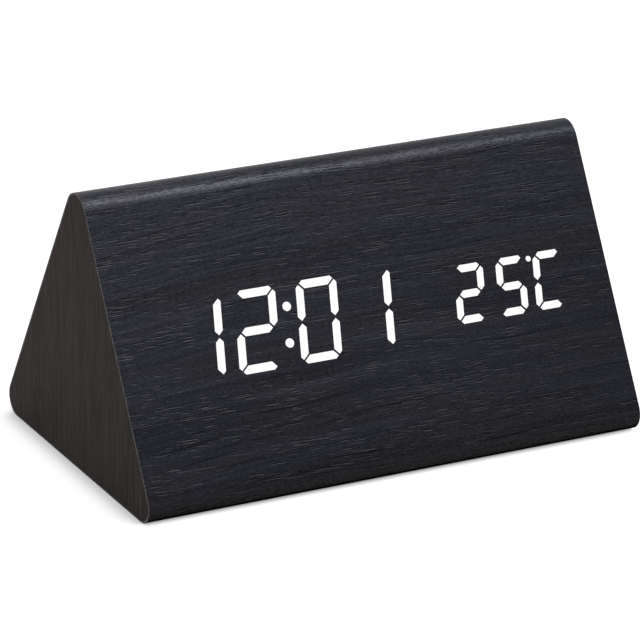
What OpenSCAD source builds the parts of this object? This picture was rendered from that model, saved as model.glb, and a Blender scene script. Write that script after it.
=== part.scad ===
// Triangular desk alarm clock: a veneered fibreboard case whose figures shine through the wood.
// X runs along the width, Y from front to back and Z up. The origin is the middle of the base,
// on the surface that the clock stands on.

/* [Case] */
// Width of the case, from end face to end face
body_w = 120; // [108:1:180]
// Side of the triangle that the three faces would make with sharp edges
side = 77.6; // [76:0.1:100]
// Radius of the two lower long edges
edge_r = 4; // [2:0.5:6]
// Radius of the ridge
ridge_r = 5; // [2:0.5:6]
// Thickness of the wood veneer
veneer_t = 0.4; // [0.3:0.1:0.8]
// Thickness of the front, rear and base boards
board_t = 4; // [3:0.5:5]
// Thickness of each end board
end_t = 4; // [3:0.5:5]
// Depth of the step on each end board that plugs into the case
plug_depth = 2.5; // [1:0.5:3]

/* [Display] */
// Time shown, four figures
shown_time = "1201"; // ["1201", "0830", "2345"]
// Temperature shown, two figures and a unit
shown_temperature = "25C"; // ["25C", "77F", "18C"]
// Height of the time figures
time_h = 17.8; // [15:0.1:19]
// Width of the time figures
time_w = 9.8; // [8.4:0.1:10.4]
// Stroke of the time figures
time_stroke = 1.8; // [1.7:0.05:2.2]
// Height of the temperature figures
temp_h = 12.8; // [10:0.1:15]
// Width of the temperature figures
temp_w = 7.3; // [6.6:0.1:7.8]
// Stroke of the temperature figures
temp_stroke = 1.64; // [1.5:0.02:2]
// Lean of the figures, in degrees
lean = 8.5; // [0:0.5:10]
// Gap between neighbouring strokes
stroke_gap = 0.42; // [0.2:0.02:0.6]
// Cut across the outer corners of each figure
corner_cut = 1.5; // [0.8:0.05:1.6]
// Distance from the left end of the case to the time figures
time_margin = 15.1; // [12:0.1:17]
// Diameter of the colon's dots
colon_d = 2; // [1.6:0.1:2.4]
// Distance between the colon's dots
colon_rise = 7.8; // [6:0.1:9]
// Distance between the two time figures on one side of the colon
time_pitch = 13; // [12.5:0.05:13.4]
// Distance between the time figures on either side of the colon
colon_pitch = 14.7; // [14.2:0.1:15.6]
// Distance from the right end of the case to the temperature figures
temp_margin = 11.5; // [10.6:0.1:13]
// Distance between the temperature figures
temp_pitch = 10.5; // [9.6:0.1:10.8]
// Distance from the last temperature figure to the unit
unit_pitch = 9.4; // [9.3:0.1:9.8]
// Diameter of the degree dot
degree_d = 1.25; // [1:0.05:1.5]
// Distance from the middle of the front face down to the middle of the figures
display_drop = 0.55; // [0:0.05:1]
// Depth of the display's reflector block
housing_t = 8; // [7:0.5:9]
// Wall of the reflector block around the figures
housing_wall = 1; // [0.8:0.1:1.5]

/* [Controls] */
// Width of the control panel in the rear face
panel_w = 64; // [62:1:72]
// Height of the control panel
panel_h = 20; // [18:1:22]
// Radius of the panel's corners
panel_r = 3; // [1:0.5:4]
// Depth of the panel's face below the veneer
panel_recess = 0.8; // [0.4:0.1:1.2]
// Thickness of the panel
panel_t = 2; // [1.5:0.1:2.4]
// Diameter of the buttons
button_d = 7; // [5:0.5:8]
// Distance between neighbouring buttons
button_pitch = 11; // [10.6:0.2:12]
// Height of a button above the panel
button_proud = 1.2; // [0.8:0.1:2]
// Travel of a button
button_travel = 0.5; // [0.3:0.1:0.6]
// Bore of the power jack
jack_bore = 3.6; // [3.4:0.1:4]
// Diameter of the power jack's centre pin
jack_pin_d = 1.3; // [1.1:0.1:1.7]

/* [Battery] */
// Diameter of a battery cell
cell_d = 10.5; // [10:0.1:10.8]
// Length of a battery cell
cell_l = 44.5; // [43:0.1:46]
// Thickness of the battery door
door_t = 2; // [1.6:0.1:2.4]
// Height of the door above the surface that the clock stands on
door_recess = 0.2; // [0.1:0.1:0.4]
// Wall of the battery box
box_wall = 1.5; // [1.2:0.1:2]

/* [Hidden] */
$fn = 48;

// Clearances
slip = 0.2;        // a part that plugs into an opening
running = 0.15;    // a button in its hole
seat_gap = 0.05;   // faces that rest on each other but move apart
screw_gap = 0.05;  // a screw in its hole

// The case's triangle
face_angle = 60;
height = side * sin(face_angle);
shell_t = veneer_t + board_t;
tube_x = body_w / 2 - veneer_t - end_t;
base_flat = side - 2 * edge_r / tan(face_angle / 2);
face_mid = side / 2;
display_mid = face_mid - display_drop;
edge_radii = [edge_r, edge_r, ridge_r];    // of the front, rear and top edge
past = 1;          // how far a cut runs past the face that it opens
swell = 0.001;     // how far the round of an edge stands proud, to cross the faces it meets

// The display, measured along the front face from its middle and inwards from the veneer
board_sheet = 1.6;
lean_slope = tan(lean);
colon_offset = body_w / 2 - time_margin - time_w / 2 - time_pitch - colon_pitch / 2;
unit_x = body_w / 2 - temp_margin - temp_w / 2;
time_x = [for (s = [-1, 1], k = [0, 1])
    -colon_offset + s * (colon_pitch / 2 + (s < 0 ? 1 - k : k) * time_pitch)];
temp_x = [unit_x - unit_pitch - temp_pitch, unit_x - unit_pitch, unit_x];
degree_x = (temp_x[1] + temp_x[2]) / 2;
degree_rise = temp_h / 2 - temp_stroke / 2 - degree_d / 4;
housing_h = time_h + 2 * housing_wall;
housing_x0 = time_x[0] - time_w / 2 - lean_slope * time_h / 2 - housing_wall;
housing_x1 = temp_x[2] + temp_w / 2 + lean_slope * temp_h / 2 + housing_wall;
housing_mid = (housing_x0 + housing_x1) / 2;
housing_w = housing_x1 - housing_x0;
chip_t = 0.7;
diffuser_t = housing_t - chip_t;
display_back = veneer_t + housing_t + board_sheet;
spacer_r = 2.1;
screw_strip = 2 * spacer_r + slip;
display_board_h = housing_h + 2 * screw_strip;
display_screw_v = housing_h / 2 + slip + spacer_r;
display_screw_inset = 6;
display_screw_x = [housing_x0 + display_screw_inset, housing_x1 - display_screw_inset];
screw_d = 2;
screw_head_d = 3.6;
screw_head_h = 1.3;
screw_slot = [2.2, 0.6, 0.7];    // length, width and depth of each arm of the cross
screw_bite = 3;    // reach of a wood screw into a board
chip_side = 0.7;   // side of a light chip
driver_x = 24;
driver_size = [18, 7.5, 2.2];
driver_legs = 14;
leg_size = [0.4, 1.2, 0.2];

// The rear controls, measured along the rear face from its middle and inwards from the veneer
panel_flange_t = 1.6;
panel_flange_margin = [5.5, 4.5];
panel_flange_x = panel_w / 2 + panel_flange_margin[0];
panel_flange_y = panel_h / 2 + panel_flange_margin[1];
panel_wall = 1.6;
panel_inner = panel_recess + panel_t;
cap_flange_t = 1;
cap_flange_lip = 0.8;
cap_flange_d = button_d + 2 * cap_flange_lip;
cap_stem_t = 0.75;
cap_stem_d = 4;
stem_end = panel_inner + seat_gap + cap_flange_t + cap_stem_t;
plunger_d = 3.2;
plunger_proud = 1;
switch_side = 6;
switch_t = 3.4;
switch_top = stem_end + plunger_proud;
main_level = switch_top + switch_t;
main_back = main_level + board_sheet;
plunger_sunk = 1.8;
button_x = [-2 * button_pitch, -button_pitch, 0];
sensor_x = button_pitch;
jack_x = 2 * button_pitch;
jack_side = 7.4;
jack_collar_wall = 1;
jack_collar_d = jack_bore + 2 * jack_collar_wall;
jack_floor = 1;
post_margin = [2.6, 1.6];    // from the panel's opening to the middle of a post
post_x = panel_w / 2 + post_margin[0];
post_y = panel_h / 2 + post_margin[1];
post_d = 4.6;
post_screw_d = 1.6;
main_board_margin = 2.6;
main_board_x = post_x + main_board_margin;
main_board_y = post_y + main_board_margin;
socket_depth = 4;
socket_h = 4.4;
socket_wall = 1;
board_step = panel_w / 32;    // grid on which the pieces of the main board stand
ribbon_x = -10 * board_step;
ribbon_w = 13;
ribbon_t = 0.8;
ribbon_rise = -7;  // both ribbon sockets, below the middle of their faces
ribbon_reach = 7;
ribbon_steps = 24;
ribbon_socket_w = ribbon_w + 2 * socket_wall + 2 * slip;
clock_chip_place = [board_step, 3];
clock_chip_size = [11, 7.5, 2.2];
clock_chip_legs = 8;
crystal_place = [6 * board_step, -6];
crystal_d = 3.6;
crystal_w = 8.8;
crystal_h = 3;
capacitor_x = [11 * board_step, 14.5 * board_step];
capacitor_y = -5;
capacitor_d = 5;
capacitor_h = 6;
buzzer_place = [-7 * board_step, 1];
buzzer_d = 12;
buzzer_h = 5.5;
buzzer_hole_d = 2;
buzzer_hole_t = 1.5;
microphone_y = 4;
microphone_d = 6;
microphone_gap = 1;
sound_hole_d = 1.4;
slot_w = 1;
slot_h = 6;
slot_y = -3;
thermistor_y = -3.5;
thermistor_d = 2.2;
thermistor_h = 3;
thermistor_leg_d = 0.5;
thermistor_leg_x = 0.6;
mark_t = 0.2;
mark_band = 0.7;   // width of the ring mark
cap_edge_r = 0.5;
pin_tail_step = 0.4;
pin_sunk = 1.6;    // tip of the jack's pin, below the panel's face

// The battery box, measured from the base upwards
cell_gap = 0.7;
cell_crimp = 0.6;  // step at a cell's flat end
cell_base_t = 0.4;
cell_cap_d = 3.8;
cell_cap_h = 1.4;
cell_pitch = cell_d + cell_gap;
contact_t = 0.4;
spring_l = 5.6;
bay_x = cell_l + spring_l + 2 * contact_t;
bay_y = 3 * cell_pitch;
door_x = bay_x / 2 + box_wall;
door_y = bay_y / 2 + box_wall;
door_gap = 0.3;
seat_z = door_recess + door_t + 2 * seat_gap;
cell_z = seat_z + cell_d / 2 + seat_gap;
roof_z = seat_z + cell_d + slip;
box_top = roof_z + box_wall;
rim_recess = 0.1;
rim_w = 3.8;
rim_x = door_x + door_gap + rim_w;
rim_y = door_y + door_gap + rim_w;
rim_r = 2.5;
flange_t = 1.6;
flange_margin = 5;
flange_x = rim_x + flange_margin;
flange_y = rim_y + flange_margin;
flange_top = shell_t + flange_t;
box_screw_inset = 2.4;
box_screw_x = flange_x - box_screw_inset;
box_screw_y = bay_y / 3;
hinge_y = door_y - door_t / 2;
hinge_z = door_recess + door_t / 2;
tab_x = 15;
tab_w = 6;
tab_t = 0.6 * door_t;
tab_z = hinge_z + door_t / 2 - tab_t;
tab_proud = 2;
tab_reach = door_t / 2 + tab_proud;
tab_swing = norm([tab_reach, door_t / 2]);
latch_w = 14;
latch_l = 9;
latch_slit = 0.8;
latch_margin = 2;
rib_count = 4;     // grip ribs on the latch
rib_start = 1.6;
rib_pitch = 1.8;
rib_w = 0.8;
rib_depth = 0.5;
contact_w = 8;
contact_h = 8.6;
tag_w = 2;
tag_out = 1.4;
wire_r = 0.3;
wire_sides = 6;
spring_turns = 4;
spring_turn_steps = 8;
spring_r0 = 3.5;
spring_r1 = 2.2;
lead_r = 0.6;
lead_sides = 8;
lead_steps = 5;    // on each span of a lead
red_aside = [0.3, 0.8, -0.5];     // a direction that the red lead never takes
black_aside = [0.1, 0.7, 0.7];    // and one for the black lead
lead_socket_x = 15 * board_step;
lead_socket_size = [6.4, 5, 4.6];
lead_half_pitch = 1;
lead_straight = 5;    // last stretch of a lead, straight into its socket
lead_bend = 2.4;
lead_near = 2;
lead_far = 7;
lead_lift = 1.2;

function dir(a) = [cos(a), sin(a)];
function unit(v) = v / norm(v);
function centroid() = [0, height / 3];

// A corner of the case's triangle, moved in by the given distance: 0 front, 1 rear, 2 top.
function corner(i, inset) = centroid() + (2 * height / 3 - 2 * inset) * dir(210 + 120 * i);

// A point of the clock at a height along the front or rear face and a depth below it, as [y, z].
function front_point(v, depth) = [-side / 2 + v * cos(face_angle) + depth * sin(face_angle),
                                  v * sin(face_angle) - depth * cos(face_angle)];
function rear_point(v, depth) = [-front_point(v, depth)[0], front_point(v, depth)[1]];

// Places children on the front or the rear face: X across, Y up the slope from the middle of
// the figures or of the rear face, Z out of the wood.
module on_front() {
    translate([0, -side / 2, 0]) rotate([face_angle, 0, 0]) translate([0, display_mid, 0]) children();
}
module on_rear() {
    translate([0, side / 2, 0]) rotate([face_angle, 0, 180]) translate([0, face_mid, 0]) children();
}

// Extrudes a [y, z] outline along the width.
module along_x(x0, x1) {
    translate([x0, 0, 0]) rotate([90, 0, 90]) linear_extrude(x1 - x0) children();
}

// Extrudes an outline from one depth below the face's surface to another.
module sunk(from, to) {
    translate([0, 0, -to]) linear_extrude(to - from) children();
}

module rounded_rect(w, h, r) {
    square([w - 2 * r, h], center = true);
    square([w, h - 2 * r], center = true);
    for (x = [-1, 1], y = [-1, 1]) translate([x * (w / 2 - r), y * (h / 2 - r)]) circle(r);
}

// The case's triangle, moved in by the given distance, with its edges rounded where they still are.
module case_outline(inset) {
    polygon([for (i = [0:2], k = edge_radii[i] > inset ? [0, 1] : [0])
        let (r = max(edge_radii[i] - inset, 0)) corner(i, inset + r) + r * dir(150 + 120 * (i + k))]);
    for (i = [0:2]) if (edge_radii[i] > inset)
        translate(corner(i, edge_radii[i])) circle(edge_radii[i] - inset + swell);
}

// One board of the case, cut to a mitre at both edges: 0 base, 1 rear, 2 front.
module board(i) {
    reach = 2 * side;
    along_x(-tube_x, tube_x) intersection() {
        difference() {
            case_outline(veneer_t);
            case_outline(shell_t);
        }
        polygon([centroid(), centroid() + reach * dir(210 + 120 * i),
                 centroid() + reach * dir(330 + 120 * i)]);
    }
}

// A screw with its head above the origin and its shank below.
module screw(d, reach) {
    difference() {
        union() {
            translate([0, 0, -reach]) cylinder(d = d, h = reach);
            cylinder(d = screw_head_d, h = screw_head_h);
        }
        for (a = [0, 90]) rotate([0, 0, a])
            translate([0, 0, screw_head_h])
                cube([screw_slot[0], screw_slot[1], 2 * screw_slot[2]], center = true);
    }
}

// The strokes of a seven-stroke figure that show a character.
function strokes_of(ch) =
    ch == "0" ? "abcdef" : ch == "1" ? "bc" : ch == "2" ? "abged" : ch == "3" ? "abgcd" :
    ch == "4" ? "fgbc" : ch == "5" ? "afgcd" : ch == "6" ? "afgedc" : ch == "7" ? "abc" :
    ch == "8" ? "abcdefg" : ch == "9" ? "abcdfg" : ch == "C" ? "afed" : ch == "F" ? "afeg" : "";

function mirrored(points, sx, sy) = [for (p = points) [p[0] * sx, p[1] * sy]];
function leaned(points) = [for (p = points) [p[0] + p[1] * lean_slope, p[1]]];

// One stroke of a figure that is centred on the origin. w and h are the figure's outer size and
// t its stroke. The strokes meet at mitres, a gap apart, and the figure's corners are cut off.
function stroke_points(s, w, h, t) =
    let (x = (w - t) / 2, y = (h - t) / 2, k = stroke_gap / sqrt(2), c = corner_cut)
    s == "a" ? [[x - t / 2 - k, y - t / 2], [x + (t - c - k) / 2, y + (t - c + k) / 2],
                [x + t / 2 - c, y + t / 2], [c - x - t / 2, y + t / 2],
                [-x - (t - c - k) / 2, y + (t - c + k) / 2], [t / 2 + k - x, y - t / 2]] :
    s == "b" ? [[x, k], [x + t / 2, k + t / 2], [x + t / 2, y + t / 2 - c],
                [x + (t - c + k) / 2, y + (t - c - k) / 2], [x - t / 2, y - t / 2 - k],
                [x - t / 2, k + t / 2]] :
    s == "g" ? [[x - k, 0], [x - k - t / 2, t / 2], [k + t / 2 - x, t / 2],
                [k - x, 0], [k + t / 2 - x, -t / 2], [x - k - t / 2, -t / 2]] :
    s == "c" ? mirrored(stroke_points("b", w, h, t), 1, -1) :
    s == "d" ? mirrored(stroke_points("a", w, h, t), 1, -1) :
    s == "e" ? mirrored(stroke_points("b", w, h, t), -1, -1) :
               mirrored(stroke_points("b", w, h, t), -1, 1);

module figure(strokes, w, h, t) {
    for (s = strokes) polygon(leaned(stroke_points(s, w, h, t)));
}

module time_outline(text) {
    for (i = [0:3]) translate([time_x[i], 0])
        figure(strokes_of(text[i]), time_w, time_h, time_stroke);
}

module temperature_outline(text) {
    for (i = [0:2]) translate([temp_x[i], 0])
        figure(strokes_of(text[i]), temp_w, temp_h, temp_stroke);
}

module colon_outline() {
    for (s = [-1, 1])
        translate([-colon_offset + s * lean_slope * colon_rise / 2, s * colon_rise / 2]) circle(d = colon_d);
}

module degree_outline() {
    translate([degree_x + lean_slope * degree_rise, degree_rise]) circle(d = degree_d);
}

// What shows through the veneer, and every stroke that the display has.
module lit_outline() {
    time_outline(shown_time);
    temperature_outline(shown_temperature);
    colon_outline();
    degree_outline();
}
module all_strokes_outline() {
    time_outline("8888");
    temperature_outline("888");
    colon_outline();
    degree_outline();
}

// The middle of every stroke of the display, along the front face.
function middle(points) = [for (k = [0, 1])
    let (c = [for (p = points) p[k]]) (min(c) + max(c)) / 2];
light_places = concat(
    [for (x = time_x, s = "abcdefg")
        [x, 0] + middle(leaned(stroke_points(s, time_w, time_h, time_stroke)))],
    [for (x = temp_x, s = "abcdefg")
        [x, 0] + middle(leaned(stroke_points(s, temp_w, temp_h, temp_stroke)))],
    [for (s = [-1, 1]) [-colon_offset + s * lean_slope * colon_rise / 2, s * colon_rise / 2]],
    [[degree_x + lean_slope * degree_rise, degree_rise]]);

module panel_opening() {
    rounded_rect(panel_w, panel_h, panel_r);
}

module rim_outline(grow) {
    rounded_rect(2 * (rim_x + grow), 2 * (rim_y + grow), rim_r + grow);
}

// Case: veneers

module veneer_wrap() color("#23252c") difference() {
    along_x(-body_w / 2, body_w / 2) difference() {
        case_outline(0);
        case_outline(veneer_t);
        translate([-base_flat / 2, -past]) square([base_flat, past + veneer_t]);
    }
    on_front() sunk(-past, 2 * veneer_t) lit_outline();
    on_rear() sunk(-past, 2 * veneer_t) panel_opening();
}

module base_veneer() color("#202127") linear_extrude(veneer_t) difference() {
    square([body_w, base_flat], center = true);
    rim_outline(slip);
}

module end_veneer(s) {
    x = s * (body_w / 2 - veneer_t / 2);
    along_x(x - veneer_t / 2, x + veneer_t / 2) case_outline(veneer_t);
}
module left_end_veneer() color("#2f2a27") end_veneer(-1);
module right_end_veneer() color("#2f2a27") end_veneer(1);

// Case: boards

module front_board() color("#8a6a48") difference() {
    board(2);
    on_front() sunk(-past, shell_t + past) translate([housing_mid, 0])
        square([housing_w + 2 * slip, housing_h + 2 * slip], center = true);
    on_front() display_screw_places() translate([0, 0, -shell_t])
        cylinder(d = screw_d + 2 * screw_gap, h = screw_bite);
}

module rear_board() color("#8a6a48") difference() {
    board(1);
    on_rear() sunk(-past, shell_t + past) panel_opening();
    on_rear() panel_screw_places() translate([0, 0, -shell_t])
        cylinder(d = screw_d + 2 * screw_gap, h = screw_bite);
}

module base_board() color("#8a6a48") difference() {
    board(0);
    translate([0, 0, -past]) linear_extrude(shell_t + 2 * past) rim_outline(slip);
    box_screw_places() translate([0, 0, shell_t - screw_bite])
        cylinder(d = screw_d + 2 * screw_gap, h = screw_bite + past);
}

module end_board(s) {
    outer = s * (body_w / 2 - veneer_t);
    inner = s * tube_x;
    plug = s * (tube_x - plug_depth);
    along_x(min(outer, inner), max(outer, inner)) case_outline(veneer_t);
    along_x(min(inner, plug), max(inner, plug)) case_outline(shell_t + slip);
}
module left_end_board() color("#8a6a48") end_board(-1);
module right_end_board() color("#8a6a48") end_board(1);

// Display

module time_figures() color("white") on_front() sunk(0, veneer_t) time_outline(shown_time);
module colon_dots() color("white") on_front() sunk(0, veneer_t) colon_outline();
module temperature_figures() color("white")
    on_front() sunk(0, veneer_t) temperature_outline(shown_temperature);
module degree_dot() color("white") on_front() sunk(0, veneer_t) degree_outline();

module display_housing() color("#141414") on_front() sunk(veneer_t, veneer_t + housing_t) difference() {
    translate([housing_mid, 0]) square([housing_w, housing_h], center = true);
    all_strokes_outline();
}

module segment_diffusers() color("#e8e6de")
    on_front() sunk(veneer_t, veneer_t + diffuser_t) all_strokes_outline();

module led_chips() color("#e9d98a") on_front() for (p = light_places)
    translate([p[0] - chip_side / 2, p[1] - chip_side / 2, -veneer_t - housing_t])
        cube([chip_side, chip_side, chip_t]);

module display_screw_places() {
    for (x = display_screw_x, s = [-1, 1]) translate([x, s * display_screw_v, 0]) children();
}

module display_board() color("#1f5a35") difference() {
    on_front() sunk(veneer_t + housing_t, display_back) translate([housing_mid, 0])
        square([housing_w, display_board_h], center = true);
    on_front() display_screw_places() translate([0, 0, -display_back - past])
        cylinder(d = screw_d + 2 * screw_gap, h = board_sheet + 2 * past);
}

module display_spacers() color("#d8d5cc") on_front() display_screw_places() difference() {
    translate([0, 0, -veneer_t - housing_t]) cylinder(r = spacer_r, h = housing_t - board_t);
    translate([0, 0, -veneer_t - housing_t - past])
        cylinder(d = screw_d + 2 * screw_gap, h = housing_t - board_t + 2 * past);
}

module display_screws() color("#c8c8c8") on_front() display_screw_places()
    translate([0, 0, -display_back]) rotate([180, 0, 0])
        screw(screw_d, board_sheet + housing_t - board_t + screw_bite - slip);

// A flat chip with a row of legs along two sides, standing on the plane of the origin.
module chip(size, legs) {
    lift = leg_size[2];
    translate([-size[0] / 2, -size[1] / 2, lift / 2]) cube(size);
    for (s = [-1, 1], i = [0:legs - 1])
        translate([(i - (legs - 1) / 2) * size[0] / legs, s * (size[1] + leg_size[1] - lift) / 2, lift / 2])
            cube(leg_size, center = true);
}

module display_driver() color("#1a1a1a")
    on_front() translate([driver_x, 0, -display_back]) rotate([180, 0, 0]) chip(driver_size, driver_legs);

// A cable socket with its mouth away from the plane of the origin.
module socket(w, h, t) {
    difference() {
        translate([-w / 2, -h / 2, 0]) cube([w, h, t]);
        translate([-w / 2 + socket_wall, -h / 2 + socket_wall, socket_wall])
            cube([w - 2 * socket_wall, h - 2 * socket_wall, t]);
    }
}

module display_socket() color("#e6e2d4")
    on_front() translate([ribbon_x, ribbon_rise, -display_back]) rotate([180, 0, 0])
        socket(ribbon_socket_w, socket_h, socket_depth);
module ribbon_socket() color("#e6e2d4")
    on_rear() translate([-ribbon_x, ribbon_rise, -main_back]) rotate([180, 0, 0])
        socket(ribbon_socket_w, socket_h, socket_depth);

function bezier(p, n) = [for (i = [0:n]) let (t = i / n)
    pow(1 - t, 3) * p[0] + 3 * t * pow(1 - t, 2) * p[1] + 3 * t * t * (1 - t) * p[2] + pow(t, 3) * p[3]];

// The ribbon hangs in one bend between the floors of its two sockets.
ribbon_v = [display_mid + ribbon_rise, face_mid + ribbon_rise];
ribbon_ends = [front_point(ribbon_v[0], display_back + socket_wall),
               rear_point(ribbon_v[1], main_back + socket_wall)];
ribbon_line = bezier([ribbon_ends[0],
                      front_point(ribbon_v[0], display_back + socket_wall + socket_depth + ribbon_reach),
                      rear_point(ribbon_v[1], main_back + socket_wall + socket_depth + ribbon_reach),
                      ribbon_ends[1]], ribbon_steps);

function side_step(line, i) = let (t = unit(line[min(i + 1, len(line) - 1)] - line[max(i - 1, 0)]))
    [-t[1], t[0]];
module display_ribbon() color("#b9b9b4")
    along_x(ribbon_x - ribbon_w / 2, ribbon_x + ribbon_w / 2)
        polygon(concat(
            [for (i = [0:len(ribbon_line) - 1]) ribbon_line[i] + side_step(ribbon_line, i) * ribbon_t / 2],
            [for (i = [len(ribbon_line) - 1:-1:0])
                ribbon_line[i] - side_step(ribbon_line, i) * ribbon_t / 2]));

// Rear controls

module panel_screw_places() {
    for (s = [-1, 1]) translate([s * post_x, 0, 0]) children();
}
module post_places() {
    for (x = [-1, 1], y = [-1, 1]) translate([x * post_x, y * post_y, 0]) children();
}

module sensor_slots() {
    for (i = [-1:1]) translate([sensor_x + 2 * i * slot_w, slot_y]) square([slot_w, slot_h], center = true);
}

module control_panel() color("#1c1c1e") on_rear() difference() {
    union() {
        sunk(panel_recess, shell_t + panel_flange_t)
            rounded_rect(panel_w - 2 * slip, panel_h - 2 * slip, panel_r - slip);
        sunk(shell_t, shell_t + panel_flange_t)
            square([2 * panel_flange_x, 2 * panel_flange_y], center = true);
        post_places() translate([0, 0, -main_level]) cylinder(d = post_d, h = main_level - shell_t);
    }
    sunk(panel_inner, shell_t + panel_flange_t + past)
        square([panel_w - 2 * slip - 2 * panel_wall, panel_h - 2 * slip - 2 * panel_wall], center = true);
    for (x = button_x) translate([x, 0, -panel_inner - past])
        cylinder(d = button_d + 2 * running, h = panel_t + 2 * past);
    translate([jack_x, 0, -panel_inner - past])
        cylinder(d = jack_collar_d + 2 * running, h = panel_t + 2 * past);
    translate([sensor_x, microphone_y, -panel_inner - past])
        cylinder(d = sound_hole_d, h = panel_t + 2 * past);
    sunk(0, panel_inner + past) sensor_slots();
    post_places() translate([0, 0, -main_level - past])
        cylinder(d = post_screw_d + 2 * screw_gap, h = screw_bite + past);
    panel_screw_places() translate([0, 0, -shell_t - panel_flange_t - past])
        cylinder(d = screw_d + 2 * screw_gap, h = panel_flange_t + 2 * past);
}

module panel_screws() color("#c8c8c8") on_rear() panel_screw_places()
    translate([0, 0, -shell_t - panel_flange_t]) rotate([180, 0, 0])
        screw(screw_d, panel_flange_t + screw_bite - slip);

module board_screws() color("#c8c8c8") on_rear() post_places()
    translate([0, 0, -main_back]) rotate([180, 0, 0])
        screw(post_screw_d, board_sheet + screw_bite - slip);

// A button cap: a round top with a softened edge and a raised mark, a flange that keeps it
// behind the panel, and a stem that rests on its switch.
module button(i) {
    top_r = cap_edge_r;
    rim = button_d / 2;
    top = button_proud - panel_recess;
    on_rear() translate([button_x[i], 0, 0]) {
        rotate_extrude() {
            translate([0, -panel_inner - seat_gap]) square([rim, panel_inner + seat_gap + top - top_r]);
            translate([0, top - 2 * top_r]) square([rim - top_r, 2 * top_r]);
            intersection() {
                translate([rim - top_r, top - top_r]) circle(top_r);
                translate([0, top - top_r]) square([rim, top_r]);
            }
            translate([0, -stem_end + cap_stem_t]) square([cap_flange_d / 2, cap_flange_t]);
            translate([0, -stem_end]) square([cap_stem_d / 2, cap_stem_t]);
        }
        translate([0, 0, top]) linear_extrude(mark_t) children();
    }
}
mark_r = button_d / 4;
module set_button() color("#262628") button(0) difference() {
    circle(mark_r);
    circle(mark_r - mark_band);
}
module arrow_mark(turn) {
    rotate(turn) polygon([for (a = [90, 210, 330]) mark_r * dir(a)]);
}
module up_button() color("#262628") button(1) arrow_mark(0);
module down_button() color("#262628") button(2) arrow_mark(180);

module plunger(i) {
    on_rear() translate([button_x[i], 0, -switch_top - plunger_sunk])
        cylinder(d = plunger_d, h = plunger_proud + plunger_sunk);
}
module set_plunger() color("#111111") plunger(0);
module up_plunger() color("#111111") plunger(1);
module down_plunger() color("#111111") plunger(2);

module switch_bodies() color("#b4b7ba") on_rear() for (x = button_x) translate([x, 0, 0]) difference() {
    sunk(switch_top, main_level) square(switch_side, center = true);
    translate([0, 0, -switch_top - plunger_sunk - button_travel - slip])
        cylinder(d = plunger_d + 2 * running, h = plunger_sunk + button_travel + slip + past);
}

module main_board() color("#1f5a35") on_rear() difference() {
    sunk(main_level, main_back) square([2 * main_board_x, 2 * main_board_y], center = true);
    post_places() translate([0, 0, -main_back - past])
        cylinder(d = post_screw_d + 2 * screw_gap, h = board_sheet + 2 * past);
}

// Places children on the inner side of the main board, facing into the case.
module behind_main() {
    on_rear() translate([0, 0, -main_back]) rotate([180, 0, 0]) children();
}

module clock_chip() color("#1a1a1a") behind_main() translate(clock_chip_place)
    chip(clock_chip_size, clock_chip_legs);

module crystal_can() color("#c9ccd0") behind_main() translate(crystal_place)
    linear_extrude(crystal_h) {
        for (s = [-1, 1]) translate([s * (crystal_w - crystal_d) / 2, 0]) circle(d = crystal_d);
        square([crystal_w - crystal_d, crystal_d], center = true);
    }

module capacitors() color("#2b3350") behind_main() for (x = capacitor_x)
    translate([x, capacitor_y, 0]) cylinder(d = capacitor_d, h = capacitor_h);

module buzzer() color("#151515") behind_main() translate(buzzer_place) difference() {
    cylinder(d = buzzer_d, h = buzzer_h);
    translate([0, 0, buzzer_h - buzzer_hole_t]) cylinder(d = buzzer_hole_d, h = buzzer_hole_t + past);
}

module microphone() color("#9a9ca0") on_rear() translate([sensor_x, microphone_y, -main_level])
    cylinder(d = microphone_d, h = main_level - panel_inner - microphone_gap);

module thermistor() color("#2d2d2d") on_rear() translate([sensor_x, thermistor_y, -main_level]) {
    translate([0, 0, thermistor_h]) sphere(d = thermistor_d);
    for (s = [-1, 1]) translate([s * thermistor_leg_x, 0, 0])
        cylinder(d = thermistor_leg_d, h = thermistor_h);
}

module lead_socket() color("#e6e2d4")
    behind_main() translate([-lead_socket_x, 0, 0])
        socket(lead_socket_size[0], lead_socket_size[1], lead_socket_size[2]);

module power_jack() color("#101010") on_rear() translate([jack_x, 0, 0]) difference() {
    union() {
        sunk(panel_inner + seat_gap, main_level) square(jack_side, center = true);
        sunk(panel_recess, main_level) circle(d = jack_collar_d);
    }
    translate([0, 0, -main_level + jack_floor]) cylinder(d = jack_bore, h = main_level);
    translate([0, 0, -main_level - past]) cylinder(d = jack_pin_d - pin_tail_step, h = jack_floor + 2 * past);
}

// The pin stands on the jack's floor, with a thinner tail through it, and stops inside the mouth.
jack_pin_l = main_level - jack_floor - panel_recess - pin_sunk;
module power_jack_pin() color("#d8d8d8") on_rear() translate([jack_x, 0, -main_level]) {
    translate([0, 0, jack_floor]) cylinder(d = jack_pin_d, h = jack_pin_l);
    cylinder(d = jack_pin_d - pin_tail_step - 2 * screw_gap, h = jack_floor);
}

// Battery compartment

module box_screw_places() {
    for (x = [-1, 1], y = [-1, 1]) translate([x * box_screw_x, y * box_screw_y, 0]) children();
}

function cell_y(i) = (i - 1) * cell_pitch;
function cell_turn(i) = i == 1 ? -1 : 1;   // the end that the positive cap points to

module tag_slots() {
    clear = 2 * slip;
    for (s = [-1, 1]) translate([s * (door_x - box_wall / 2), cell_y(1 + s * -1), cell_z])
        cube([box_wall + 2 * past, tag_w + clear, contact_t + clear], center = true);
}

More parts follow.
